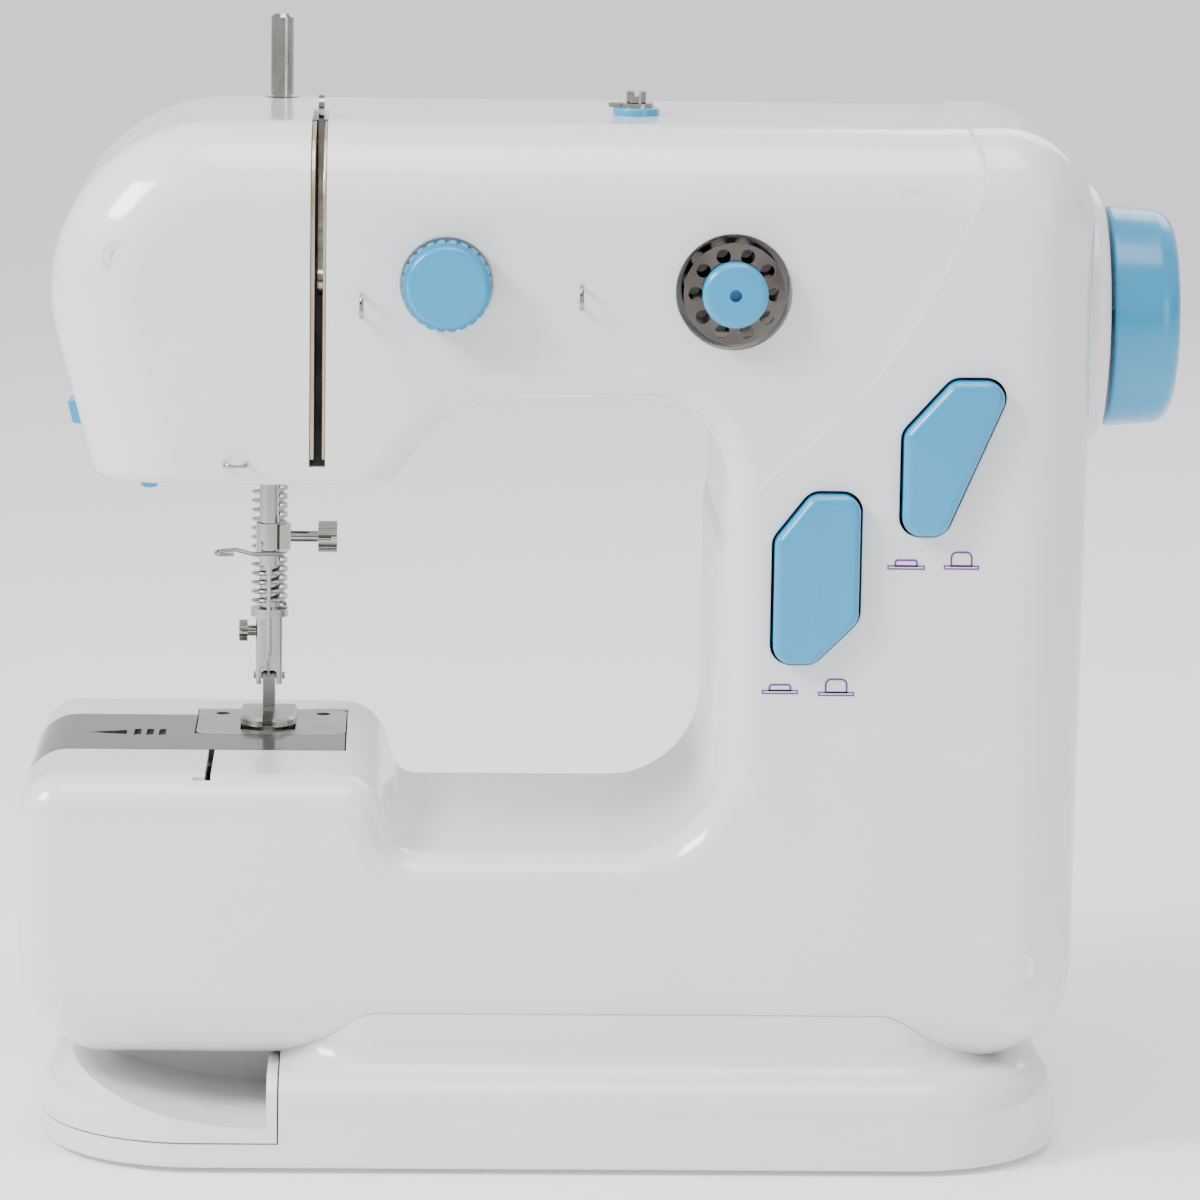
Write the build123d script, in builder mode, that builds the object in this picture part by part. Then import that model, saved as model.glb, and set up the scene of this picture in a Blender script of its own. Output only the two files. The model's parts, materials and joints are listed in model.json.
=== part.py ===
"""Portable mini sewing machine, in millimetres.

X runs along the arm, towards the handwheel. Y runs from the operator to the back. Z is up.
The origin is on the table, under the middle of the machine.
"""

from build123d import *
import math
import os

os.makedirs("parts", exist_ok=True)

# ---- driving dimensions ----
WALL = 2.4
BODY_HALF = 46.5  # half depth of the bed and column
ARM_HALF = 44.5  # half depth of the arm and head
BODY_TOP = 212.6
ARM_TOP = 212.2
BODY_BOTTOM = 20.0
BED_LEFT = -118.8
BED_TOP = 80.0
DECK_Z = 64.2
COLUMN_RIGHT = 98.6
THROAT_RIGHT = 24.0
THROAT_TOP = 158.0
HEAD_BOTTOM = 140.0
HEAD_END_R = 34.5
HEAD_CENTRE_X = -78.0
HEAD_RIGHT = -43.0
BIG_ROUND = 16.0
ARM_ROUND = 18.0
SMALL_ROUND = 8.0

BASE_LEFT = -114.6
BASE_RIGHT = 96.4
BASE_HALF = 55.0
BASE_FLOOR = 1.0
BASE_RIM_Z = 6.2
DRAWER_RIGHT = -65.0
GAP = 0.3

SHAFT_Z = 170.8
SHAFT_R = 3.0
BUSH_R = 5.0
RUN = 0.05  # radial running clearance
LOWER_Y = -1.5
LOWER_Z = 50.0
CRANK_R = 10.0

NEEDLE_X = -69.0
NEEDLE_Y = 12.0
NEEDLE_BAR_R = 2.0
PRESSER_Y = 19.0
PRESSER_R = 2.2

LEVER_X = -58.0
LEVER_Y = -17.0
LEVER_Z = 178.5
LEVER_REACH = 38.0

TENSION_X = -32.4
TENSION_Z = 181.5
WINDER_X = 25.2
WINDER_Z = 180.3
BOBBIN_R = 10.25
BOBBIN_H = 11.4

WHEEL_R = 23.0
WHEEL_LEFT = 104.8
WHEEL_RIGHT = 118.8
COLLAR_R = 27.5


def save(piece, name):
    """Labels a finished part and writes it as its own STEP file."""
    piece.part.label = name
    export_step(piece.part, f"parts/{name}.step")


def front(y):
    """A plane facing the operator whose sketches stand in X and Z, at depth y."""
    return Plane((0, y, 0), x_dir=(1, 0, 0), z_dir=(0, -1, 0))


def side(x):
    """A plane facing +X whose sketches stand in Y and Z."""
    return Plane((x, 0, 0), x_dir=(0, 1, 0), z_dir=(1, 0, 0))


def level(z):
    """A horizontal plane at height z."""
    return Plane.XY.offset(z)


def outline_block(points, radii, half, inset, rounding, keep):
    """A prism on an XZ outline with rounded corners, whose front and back edges are rounded."""
    with BuildPart() as block:
        with BuildSketch(Plane.XZ):
            with BuildLine():
                FilletPolyline(*points, radius=radii, close=True)
            make_face()
            if inset > 0:
                offset(amount=-inset)
        extrude(amount=half - inset, both=True)
        rims = block.edges().filter_by(lambda e: abs(abs(e.center().Y) - half + inset) < 0.01)
        fillet(rims.filter_by(keep), rounding - inset)
    return block.part


def step_line():
    """The S-curve where the column stands proud of the arm, from the throat up to the top."""
    rise = JernArc((THROAT_RIGHT - 0.8, 118.0), (0, 1), 36.0, -52)
    sweep_up = JernArc(rise @ 1, rise % 1, 104.0, 27)
    straight = PolarLine(sweep_up @ 1, 17.0, direction=sweep_up % 1)
    crest = JernArc(straight @ 1, straight % 1, 12.0, 56)
    tip = PolarLine(crest @ 1, 30.0, direction=crest % 1)
    return rise, tip


def lower_block(inset):
    """Bed, column and deck as one solid, smaller all round by inset."""
    far = 200.0
    right = outline_block(
        [(-far, BODY_BOTTOM), (COLUMN_RIGHT - 0.5, BODY_BOTTOM), (COLUMN_RIGHT + 0.5, BODY_TOP), (-far, BODY_TOP)],
        [0, 20.0, 19.0, 0],
        BODY_HALF,
        inset,
        BIG_ROUND,
        lambda e: e.center().X > -190,
    )
    left = outline_block(
        [
            (BED_LEFT, BODY_BOTTOM),
            (BED_LEFT, BED_TOP),
            (-46.5, BED_TOP),
            (-41.2, DECK_Z),
            (THROAT_RIGHT, DECK_Z),
            (THROAT_RIGHT, 260.0),
            (150.0, 260.0),
            (150.0, BODY_BOTTOM),
        ],
        [24.0, 9.0, 9.5, 5.0, 20.0, 0, 0, 0],
        BODY_HALF,
        inset,
        SMALL_ROUND,
        lambda e: e.center().X < 120 and e.center().Z < 250,
    )
    with BuildPart() as block:
        with BuildSketch(Plane.XZ):
            with BuildLine():
                rise, tip = step_line()
                Polyline(tip @ 1, (160, 280), (160, -60), (-180, -60), (-180, 118), rise @ 0)
            make_face()
            if inset > 0:
                offset(amount=-inset)
        extrude(amount=60, both=True)
        add(right, mode=Mode.INTERSECT)
        add(left, mode=Mode.INTERSECT)
    return block.part


def arm_block(inset):
    """Arm and head as one solid: a round left end, a low head and an arched underside."""
    bottom = HEAD_BOTTOM + inset
    with BuildPart() as block:
        with BuildSketch(Plane.XZ):
            with BuildLine():
                top = Line((80, ARM_TOP), (HEAD_CENTRE_X, ARM_TOP))
                end = JernArc(top @ 1, (-1, 0), HEAD_END_R, 105)
                drop = (end @ 1).Y - HEAD_BOTTOM
                flank = Line(end @ 1, (end @ 1) + Vector(drop * math.tan(math.radians(15)), -drop))
                below = Line(flank @ 1, (HEAD_RIGHT, HEAD_BOTTOM))
                arch = FilletPolyline(
                    below @ 1,
                    (-29.9, THROAT_TOP),
                    (THROAT_RIGHT + 0.8, THROAT_TOP),
                    (THROAT_RIGHT + 0.8, 121.0),
                    radius=[24.0, 17.0],
                )
                Polyline(arch @ 1, (80, 121), (80, ARM_TOP))
            make_face()
            if inset > 0:
                offset(amount=-inset)
        extrude(amount=ARM_HALF - inset, both=True)
        rims = block.edges().filter_by(lambda e: abs(abs(e.center().Y) - ARM_HALF + inset) < 0.01)
        upper = rims.filter_by(
            lambda e: (e.center().Z > ARM_TOP - inset - 1 or e.center().X < -90) and e.center().Z > bottom + 1
        )
        fillet(upper, ARM_ROUND - inset)
        rims = block.edges().filter_by(lambda e: abs(abs(e.center().Y) - ARM_HALF + inset) < 0.01)
        arched = rims.filter_by(
            lambda e: -45 < e.center().X < 28 and bottom + 1 < e.center().Z < THROAT_TOP + inset + 1
        )
        fillet(arched, 6.0 - inset)
        if inset == 0:
            fillet(block.faces().filter_by(lambda f: abs(f.center().Z - bottom) < 0.01).edges(), 2.5)
    return block.part



def rod(plane, radius, length, spots=((0, 0),), bore=0.0):
    """Round bars, or tubes, standing on a plane at the given spots."""
    with BuildPart() as bars:
        with BuildSketch(plane):
            with Locations(*spots):
                Circle(radius)
                if bore:
                    Circle(bore, mode=Mode.SUBTRACT)
        extrude(amount=length)
    return bars.part


def slab(x0, x1, y0, y1, z0, z1):
    """A square-edged block between two corners."""
    with BuildPart() as block:
        with BuildSketch(level(z0)):
            with Locations(((x0 + x1) / 2, (y0 + y1) / 2)):
                Rectangle(x1 - x0, y1 - y0)
        extrude(amount=z1 - z0)
    return block.part


def button_block(corners, rounding, grow, y_front, depth):
    """A push button's outline in the front face, pushed back from y_front."""
    with BuildPart() as block:
        with BuildSketch(front(y_front)):
            with BuildLine():
                FilletPolyline(*corners, radius=rounding, close=True)
            make_face()
            if grow:
                offset(amount=grow)
        extrude(amount=-depth)
    return block.part


POWER_CORNERS = [(59.8, 131.8), (59.8, 152.4), (69.5, 163.2), (81.6, 163.2), (68.2, 131.8)]
SPEED_CORNERS = [(34.2, 105.4), (34.2, 130.5), (41.5, 139.9), (51.3, 139.9), (51.3, 114.3), (42.4, 105.4)]
BUTTON_ROUND = 3.6
BUTTON_GAP = 0.6
BUTTON_FACE = -50.2
BUTTON_TRAVEL = 3.0

COVER_RIGHT = -52.5
COVER_FRONT = -15.0
COVER_BACK = 22.0
COVER_THICK = 2.2
PLATE_LEFT = -84.0
PLATE_FRONT = 2.0
PLATE_BACK = 29.0
PLATE_THICK = 2.0

ARM_POSTS = [(-98.0, 186.0), (60.0, 198.0)]
BODY_POSTS = [(-110.0, 48.0), (86.0, 42.0)]
FOOT_SPOTS = [(-82.0, -38.0), (-82.0, 38.0), (66.0, -38.0), (66.0, 38.0)]
POST_END = 34.0
SPOOL_X = -67.0
SPOOL_Y = 26.0
SPOOL_R = 2.4
SPOOL_TOP = 229.8
GUIDE_X = 6.5
GUIDE_Y = -6.0
JACK_Z = 66.5
POWER_JACK_Y = 18.0
LIFTER_Z = 150.0
LAMP_X = -83.0
LAMP_BUTTON_X = -92.5
LAMP_BUTTON_Y = -28.0

# ---- case ----
outer = arm_block(0) + lower_block(0)
inner = arm_block(WALL) + lower_block(WALL)

with BuildPart() as bed_opening:
    add(slab(BED_LEFT + WALL, COVER_RIGHT + GAP, COVER_FRONT - GAP, COVER_BACK + GAP, BED_TOP - 3, BED_TOP + 1))
    add(slab(BED_LEFT - 1, BED_LEFT + 6, COVER_FRONT - GAP, COVER_BACK + GAP, 71.0, BED_TOP + 1))
    add(slab(PLATE_LEFT - GAP, COVER_RIGHT + GAP, 0, PLATE_BACK + GAP, BED_TOP - 3, BED_TOP + 1))

with BuildPart() as front_shell:
    add(outer)
    add(inner, mode=Mode.SUBTRACT)
    split(bisect_by=Plane.XZ)
    add(rod(front(POST_END), 3.5, POST_END + ARM_HALF - 1.0, ARM_POSTS, bore=1.4))
    add(rod(front(POST_END), 3.5, POST_END + BODY_HALF - 1.0, BODY_POSTS, bore=1.4))
    add(slab(LEVER_X - 1.7, LEVER_X + 1.5, -60, -0.5, 144, 220), mode=Mode.SUBTRACT)
    add(rod(front(0), 2.15, 60, [(TENSION_X, TENSION_Z)]), mode=Mode.SUBTRACT)
    add(rod(front(-30), 11.7, 60, [(WINDER_X, WINDER_Z)]), mode=Mode.SUBTRACT)
    add(button_block(POWER_CORNERS, BUTTON_ROUND, BUTTON_GAP, -60, 20), mode=Mode.SUBTRACT)
    add(button_block(SPEED_CORNERS, BUTTON_ROUND, BUTTON_GAP, -60, 20), mode=Mode.SUBTRACT)
    add(rod(side(90), 6.0, 20, [(0, SHAFT_Z)]), mode=Mode.SUBTRACT)
    add(rod(side(90), 2.9, 20, [(0, JACK_Z)]), mode=Mode.SUBTRACT)
    add(rod(level(200), 1.7, 20, [(GUIDE_X, GUIDE_Y)]), mode=Mode.SUBTRACT)
    add(rod(level(130), 1.9, 20, [(LAMP_BUTTON_X, LAMP_BUTTON_Y)]), mode=Mode.SUBTRACT)
    add(bed_opening.part, mode=Mode.SUBTRACT)
    add(slab(-80.6, -79.4, -41, COVER_FRONT, 75, 82), mode=Mode.SUBTRACT)
    add(slab(-83.0, -79.4, -42.2, -41, 75, 82), mode=Mode.SUBTRACT)
save(front_shell, "front_shell")

with BuildPart() as rear_shell:
    add(outer)
    add(inner, mode=Mode.SUBTRACT)
    split(bisect_by=Plane.XZ, keep=Keep.BOTTOM)
    add(rod(front(60), 1.6, 30, ARM_POSTS + BODY_POSTS), mode=Mode.SUBTRACT)
    add(rod(side(90), 6.0, 20, [(0, SHAFT_Z)]), mode=Mode.SUBTRACT)
    add(rod(side(90), 2.9, 20, [(0, JACK_Z)]), mode=Mode.SUBTRACT)
    add(rod(side(90), 4.2, 20, [(POWER_JACK_Y, JACK_Z)]), mode=Mode.SUBTRACT)
    add(rod(front(60), 2.8, 30, [(NEEDLE_X, LIFTER_Z)]), mode=Mode.SUBTRACT)
    add(rod(level(200), SPOOL_R + 1.2, 20, [(SPOOL_X, SPOOL_Y)]), mode=Mode.SUBTRACT)
    add(slab(-75, -61, 7, 26, 130, 145), mode=Mode.SUBTRACT)
    add(rod(level(130), 3.1, 20, [(LAMP_X, 12.0)]), mode=Mode.SUBTRACT)
    add(bed_opening.part, mode=Mode.SUBTRACT)
    with BuildSketch(front(36)):
        with Locations((60, 60)):
            with GridLocations(30, 5, 1, 5):
                SlotOverall(26, 2.2)
    extrude(amount=-20, mode=Mode.SUBTRACT)
save(rear_shell, "rear_shell")

with BuildPart() as case_screws:
    for back, spots in ((ARM_HALF, ARM_POSTS), (BODY_HALF, BODY_POSTS)):
        add(rod(front(back + 1.6), 2.8, 1.6, spots))
        add(rod(front(back), 1.4, 14.0, spots))
        with BuildSketch(front(back + 1.6)):
            with Locations(*spots):
                Rectangle(3.6, 0.7)
                Rectangle(0.7, 3.6)
        extrude(amount=0.9, mode=Mode.SUBTRACT)
save(case_screws, "case_screws")

# ---- base ----
with BuildPart() as foot_block:
    with BuildSketch(level(BASE_FLOOR)):
        with Locations(((BASE_LEFT + BASE_RIGHT) / 2, 0)):
            RectangleRounded(BASE_RIGHT - BASE_LEFT, 2 * BASE_HALF, 32)
    extrude(amount=BODY_BOTTOM - BASE_FLOOR)
    fillet(foot_block.faces().sort_by(Axis.Z)[-1].edges(), 8.6)
    fillet(foot_block.faces().sort_by(Axis.Z)[0].edges(), 1.4)

FLARE_HALF = BODY_HALF - 0.6
FLARE_RIGHT = 78.0
FLARE_ROUND = 20.0
FLARE_SWEEP = 7.0
with BuildPart() as base:
    add(foot_block.part)
    with BuildSketch(level(BODY_BOTTOM - 6)):
        with Locations(((DRAWER_RIGHT + FLARE_RIGHT) / 2, 0)):
            RectangleRounded(FLARE_RIGHT - DRAWER_RIGHT, 2 * FLARE_HALF, FLARE_ROUND)
    extrude(amount=22)
    foot_of_flare = base.edges().filter_by(
        lambda e: abs(e.center().Z - BODY_BOTTOM) < 0.3 and abs(e.center().Y) < FLARE_HALF + 0.05
        and DRAWER_RIGHT - 0.1 < e.center().X < FLARE_RIGHT + 0.1 and abs(abs(e.center().Y) - 46.0) > 0.01
    )
    fillet(foot_of_flare, FLARE_SWEEP)
    add(outer, mode=Mode.SUBTRACT)
    add(slab(-140, DRAWER_RIGHT, -60, 60, BASE_RIM_Z, 40), mode=Mode.SUBTRACT)
    add(slab(DRAWER_RIGHT - 1, -2, -34, 34, BASE_RIM_Z, 14.8), mode=Mode.SUBTRACT)
    add(slab(6, 90, -31, 31, 0, BODY_BOTTOM - 3.4), mode=Mode.SUBTRACT)
save(base, "base")

SCOOP_RIGHT = DRAWER_RIGHT - 2.5
SCOOP_BACK = -16.0
with BuildPart() as drawer:
    add(foot_block.part)
    add(slab(-140, DRAWER_RIGHT - GAP, -60, 60, BASE_RIM_Z + GAP, BODY_BOTTOM - 0.4), mode=Mode.INTERSECT)
    with BuildSketch(front(SCOOP_BACK)):
        with BuildLine():
            foot_curve = JernArc((SCOOP_RIGHT, 9.6), (-1, 0), 88.0, -29)
            Polyline(foot_curve @ 1, (-112, 30), (SCOOP_RIGHT, 30), (SCOOP_RIGHT, 9.6))
        make_face()
    extrude(amount=50, mode=Mode.SUBTRACT)
    add(slab(SCOOP_RIGHT - 5.5, SCOOP_RIGHT + 1, SCOOP_BACK + 0.1, 33, BASE_RIM_Z + GAP, 14.4))
    add(slab(SCOOP_RIGHT, -6, -33, 33, BASE_RIM_Z + GAP, 14.4))
    add(slab(-102, -7.6, -10, 31.4, 8.1, 14.0), mode=Mode.SUBTRACT)
    add(slab(DRAWER_RIGHT + 1.2, -7.6, -31.4, 31.4, 8.1, 20), mode=Mode.SUBTRACT)
    add(slab(DRAWER_RIGHT - 1, -7.6, -10, 31.4, 8.1, 20), mode=Mode.SUBTRACT)
save(drawer, "drawer")

with BuildPart() as battery_door:
    add(slab(6.5, 89.7, -30.7, 30.7, BASE_FLOOR, BASE_FLOOR + 1.2))
    add(rod(front(28), 0.8, 56, [(7.1, BASE_FLOOR + 0.8)]))
    with BuildSketch(level(BASE_FLOOR)):
        with Locations((78, 0)):
            with GridLocations(3, 30, 4, 1):
                Rectangle(1.2, 24)
    extrude(amount=0.5, mode=Mode.SUBTRACT)
save(battery_door, "battery_door")

with BuildPart() as rubber_feet:
    add(rod(level(0), 6.0, BASE_FLOOR, FOOT_SPOTS))
    chamfer(rubber_feet.faces().sort_by(Axis.Z)[0].edges(), 0.3)
save(rubber_feet, "rubber_feet")

# ---- bed ----
with BuildPart() as bobbin_cover:
    add(lower_block(0))
    add(lower_block(COVER_THICK), mode=Mode.SUBTRACT)
    add(slab(-130, COVER_RIGHT, COVER_FRONT, COVER_BACK, 71.3, 90), mode=Mode.INTERSECT)
    add(slab(PLATE_LEFT - GAP, -40, PLATE_FRONT - GAP, 40, 60, 90), mode=Mode.SUBTRACT)
    with BuildSketch(level(BED_TOP - 0.6)):
        with BuildLine():
            Polyline((-106.5, 2.5), (-98.5, 4.8), (-98.5, 0.2), (-106.5, 2.5))
        make_face()
        with Locations((-96.2, 2.5), (-93.6, 2.5), (-91.0, 2.5)):
            SlotOverall(7.4, 1.5, rotation=90)
    extrude(amount=2, mode=Mode.SUBTRACT)
save(bobbin_cover, "bobbin_cover")

with BuildPart() as needle_plate:
    with BuildSketch(level(BED_TOP - PLATE_THICK - 0.1)):
        with Locations(((PLATE_LEFT + COVER_RIGHT) / 2, (PLATE_FRONT + PLATE_BACK) / 2)):
            RectangleRounded(COVER_RIGHT - PLATE_LEFT, PLATE_BACK - PLATE_FRONT, 3.0)
        with Locations((NEEDLE_X, NEEDLE_Y)):
            SlotOverall(4.0, 1.6, mode=Mode.SUBTRACT)
        with Locations((NEEDLE_X - 4.5, 15.5), (NEEDLE_X + 4.5, 15.5)):
            Rectangle(2.6, 17.0, mode=Mode.SUBTRACT)
        with Locations((PLATE_LEFT + 5, 24.5), (COVER_RIGHT - 5, 24.5)):
            Circle(1.5, mode=Mode.SUBTRACT)
    extrude(amount=PLATE_THICK)
save(needle_plate, "needle_plate")

TRAY_TOP = BED_TOP - 2.5
with BuildPart() as bed_tray:
    add(slab(-109, -56, -20, 33, TRAY_TOP - 2.0, TRAY_TOP))
    add(rod(level(60), 13.6, 30, [(NEEDLE_X, LOWER_Y)]), mode=Mode.SUBTRACT)
    add(slab(NEEDLE_X - 8, NEEDLE_X + 8, 3, 26, 60, 90), mode=Mode.SUBTRACT)
save(bed_tray, "bed_tray")

with BuildPart() as feed_dog:
    for x in (NEEDLE_X - 4.5, NEEDLE_X + 4.5):
        add(slab(x - 1.0, x + 1.0, 11.4, 20.5, 74.0, BED_TOP))
        with BuildSketch(side(x - 1.0)):
            with Locations(*[(11.4 + 1.1 * n, BED_TOP + 0.1) for n in range(9)]):
                Triangle(c=0.8, a=0.7, b=0.7, rotation=180)
        extrude(amount=2.0, mode=Mode.SUBTRACT)
    add(slab(NEEDLE_X - 5.5, NEEDLE_X + 5.5, 14.0, 20.5, 71.0, 74.0))
save(feed_dog, "feed_dog")

# ---- lower drive ----
HOOK_R = 12.2
GEAR_NEAR = 5.0
GEAR_FAR = 8.0
TEETH = 16


def mitre_gear(apex, axis_dir, x_dir, hub_r, hub_length, bore, shift):
    """A small 45-degree mitre gear: a cone whose slots leave straight teeth between them."""
    base_plane = Plane(apex, x_dir=x_dir, z_dir=axis_dir)
    with BuildPart() as gear:
        with BuildSketch(base_plane.offset(GEAR_NEAR)) as near:
            Circle(GEAR_NEAR - 0.1)
        with BuildSketch(base_plane.offset(GEAR_FAR)) as far:
            Circle(GEAR_FAR - 0.1)
        loft()
        with BuildSketch(base_plane.offset(GEAR_FAR)):
            Circle(hub_r)
        extrude(amount=hub_length)
        with BuildSketch(base_plane.offset(GEAR_NEAR - 1)):
            with PolarLocations(GEAR_FAR - 0.2, TEETH, start_angle=shift):
                Rectangle(2.0, 1.6)
        extrude(amount=GEAR_FAR - GEAR_NEAR + 0.6, mode=Mode.SUBTRACT)
        if bore:
            with BuildSketch(base_plane):
                Circle(bore)
            extrude(amount=40, mode=Mode.SUBTRACT)
    return gear.part


with BuildPart() as lower_shaft:
    add(rod(side(NEEDLE_X + GEAR_NEAR + 1), SHAFT_R, 114.0, [(LOWER_Y, LOWER_Z)]))
    add(rod(side(39.0), 9.0, 7.0, [(LOWER_Y, LOWER_Z)]))

with BuildPart() as shaft_gear:
    add(mitre_gear((NEEDLE_X, LOWER_Y, LOWER_Z), (1, 0, 0), (0, 1, 0), 5.0, 2.5, SHAFT_R, 0))

with BuildPart() as geared_shaft:
    add(lower_shaft.part)
    add(shaft_gear.part)
save(geared_shaft, "lower_shaft")

with BuildPart() as hook_gear:
    add(mitre_gear((NEEDLE_X, LOWER_Y, LOWER_Z), (0, 0, 1), (0, 1, 0), 4.5, 1.0, 0, 180 / TEETH))

with BuildPart() as hook:
    with BuildSketch(level(60.5)):
        with Locations((NEEDLE_X, LOWER_Y)):
            Circle(HOOK_R)
    extrude(amount=16.0)
    with BuildSketch(level(62.0)):
        with Locations((NEEDLE_X, LOWER_Y)):
            Circle(HOOK_R - 0.9)
    extrude(amount=20.0, mode=Mode.SUBTRACT)
    add(slab(NEEDLE_X, NEEDLE_X + 14, LOWER_Y - 4, LOWER_Y, 70, 80), mode=Mode.SUBTRACT)
    with BuildSketch(level(LOWER_Z + GEAR_FAR + 1.0)):
        with Locations((NEEDLE_X, LOWER_Y)):
            Circle(3.0)
    extrude(amount=1.5)

with BuildPart() as geared_hook:
    add(hook.part)
    add(hook_gear.part)
save(geared_hook, "hook")

with BuildPart() as bobbin_case:
    with BuildSketch(level(62.4)):
        with Locations((NEEDLE_X, LOWER_Y)):
            Circle(HOOK_R - 1.2)
            Circle(BOBBIN_R + 0.2, mode=Mode.SUBTRACT)
    extrude(amount=12.0)
    with BuildSketch(level(62.4)):
        with Locations((NEEDLE_X, LOWER_Y)):
            Circle(HOOK_R - 1.2)
            Circle(2.0, mode=Mode.SUBTRACT)
    extrude(amount=0.8)
save(bobbin_case, "bobbin_case")


def bobbin(plane, spot):
    """A flat-flanged metal bobbin with ten holes in each flange."""
    with BuildPart() as reel:
        for start, thick, radius in ((0, 0.8, BOBBIN_R), (0.8, BOBBIN_H - 1.6, 4.2), (BOBBIN_H - 0.8, 0.8, BOBBIN_R)):
            with BuildSketch(plane.offset(start)):
                with Locations(spot):
                    Circle(radius)
                    if radius == BOBBIN_R:
                        with PolarLocations(7.9, 10):
                            Circle(1.45, mode=Mode.SUBTRACT)
            extrude(amount=thick)
        with BuildSketch(plane):
            with Locations(spot):
                Circle(3.1)
        extrude(amount=BOBBIN_H, mode=Mode.SUBTRACT)
    return reel.part


with BuildPart() as lower_bobbin:
    add(bobbin(level(63.4), (NEEDLE_X, LOWER_Y)))
save(lower_bobbin, "lower_bobbin")

# ---- upper drive ----
PULLEY_X = 39.0
DRIVE_X = 84.0
DRIVE_R = 20.0
MOTOR_Y = 12.0
MOTOR_Z = 112.0
PINION_R = 4.0
with BuildPart() as main_shaft:
    add(rod(side(-48.0), SHAFT_R, WHEEL_LEFT + 10.5 + 48.0, [(0, SHAFT_Z)]))
    add(rod(side(PULLEY_X), 9.0, 7.0, [(0, SHAFT_Z)]))

with BuildPart() as crank_disc:
    add(rod(side(-52.0), 14.5, 4.0, [(0, SHAFT_Z)]))
    add(rod(side(-56.2), 2.4, 4.2, [(0, SHAFT_Z + CRANK_R)]))
    add(rod(side(-54.0), 1.6, 10.0, [(0, SHAFT_Z)]), mode=Mode.SUBTRACT)

with BuildPart() as crankshaft:
    add(main_shaft.part)
    add(crank_disc.part)
save(crankshaft, "main_shaft")

with BuildPart() as drive_pulley:
    add(rod(side(DRIVE_X), DRIVE_R + 1.5, 8.0, [(0, SHAFT_Z)], bore=SHAFT_R))
    with BuildSketch(side(DRIVE_X + 1.5)):
        with Locations((0, SHAFT_Z)):
            Circle(DRIVE_R + 3)
            Circle(DRIVE_R, mode=Mode.SUBTRACT)
    extrude(amount=5.0, mode=Mode.SUBTRACT)
    with BuildSketch(side(DRIVE_X)):
        with Locations((0, SHAFT_Z)):
            with PolarLocations(12.0, 6):
                Circle(3.6)
    extrude(amount=8.0, mode=Mode.SUBTRACT)
save(drive_pulley, "drive_pulley")

with BuildPart() as handwheel:
    with BuildSketch(Plane.XZ):
        with BuildLine():
            Polyline(
                (WHEEL_LEFT, SHAFT_Z + SHAFT_R),
                (WHEEL_LEFT, SHAFT_Z + WHEEL_R),
                (WHEEL_RIGHT, SHAFT_Z + WHEEL_R - 1.0),
                (WHEEL_RIGHT, SHAFT_Z),
                (WHEEL_LEFT + 10.5, SHAFT_Z),
                (WHEEL_LEFT + 10.5, SHAFT_Z + SHAFT_R),
                close=True,
            )
        make_face()
        fillet(vertices().sort_by(Axis.X)[-2:].sort_by(Axis.Y)[-1], 4.5)
        fillet(vertices().sort_by(Axis.Y)[-1], 0.8)
    revolve(axis=Axis((0, 0, SHAFT_Z), (1, 0, 0)))
save(handwheel, "handwheel")

with BuildPart() as wheel_collar:
    add(rod(side(COLUMN_RIGHT + 0.7), COLLAR_R, 4.4, [(0, SHAFT_Z)], bore=5.0))
    fillet(wheel_collar.faces().sort_by(Axis.X)[-1].outer_wire().edges(), 3.0)
save(wheel_collar, "wheel_collar")

with BuildPart() as motor:
    add(rod(side(48.0), 13.8, 33.0, [(MOTOR_Y, MOTOR_Z)]))
    chamfer(motor.edges().filter_by(GeomType.CIRCLE), 1.2)
    add(rod(side(81.0), 5.0, 1.6, [(MOTOR_Y, MOTOR_Z)]))
    add(rod(side(78.0), 1.55, 6.0, [(MOTOR_Y, MOTOR_Z)]), mode=Mode.SUBTRACT)
save(motor, "motor")

with BuildPart() as motor_pulley:
    add(rod(side(79.0), 1.5, 12.5, [(MOTOR_Y, MOTOR_Z)]))
    add(rod(side(DRIVE_X), PINION_R + 1.5, 1.5, [(MOTOR_Y, MOTOR_Z)]))
    add(rod(side(DRIVE_X), PINION_R, 8.0, [(MOTOR_Y, MOTOR_Z)]))
    add(rod(side(DRIVE_X + 6.5), PINION_R + 1.5, 1.5, [(MOTOR_Y, MOTOR_Z)]))
save(motor_pulley, "motor_pulley")


def belt(x, width, y1, z1, r1, y2, z2, r2, thick):
    """A belt lying just clear of two round pulleys: their common outline, as a thin band."""
    with BuildPart() as band:
        with BuildSketch(side(x)):
            for extra, how in ((thick, Mode.ADD), (0, Mode.SUBTRACT)):
                with BuildSketch(mode=Mode.PRIVATE) as loop:
                    with Locations((y1, z1)):
                        Circle(r1 + 0.15 + extra)
                    with Locations((y2, z2)):
                        Circle(r2 + 0.15 + extra)
                    make_hull()
                add(loop.sketch, mode=how)
        extrude(amount=width)
    return band.part


with BuildPart() as drive_belt:
    add(belt(DRIVE_X + 2.0, 4.0, 0, SHAFT_Z, DRIVE_R, MOTOR_Y, MOTOR_Z, PINION_R, 1.2))
save(drive_belt, "drive_belt")

with BuildPart() as timing_belt:
    add(belt(PULLEY_X + 0.5, 6.0, 0, SHAFT_Z, 9.0, LOWER_Y, LOWER_Z, 9.0, 1.2))
save(timing_belt, "timing_belt")

BEARING_X = [-44.0, 62.0]
with BuildPart() as arm_frame:
    add(slab(-46, 66, 22, 25, 162, 184))
    for x in BEARING_X:
        add(slab(x, x + 4, -8, 25, 162, 180))
        add(rod(side(x - 1), BUSH_R, 6, [(0, SHAFT_Z)]), mode=Mode.SUBTRACT)

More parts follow.
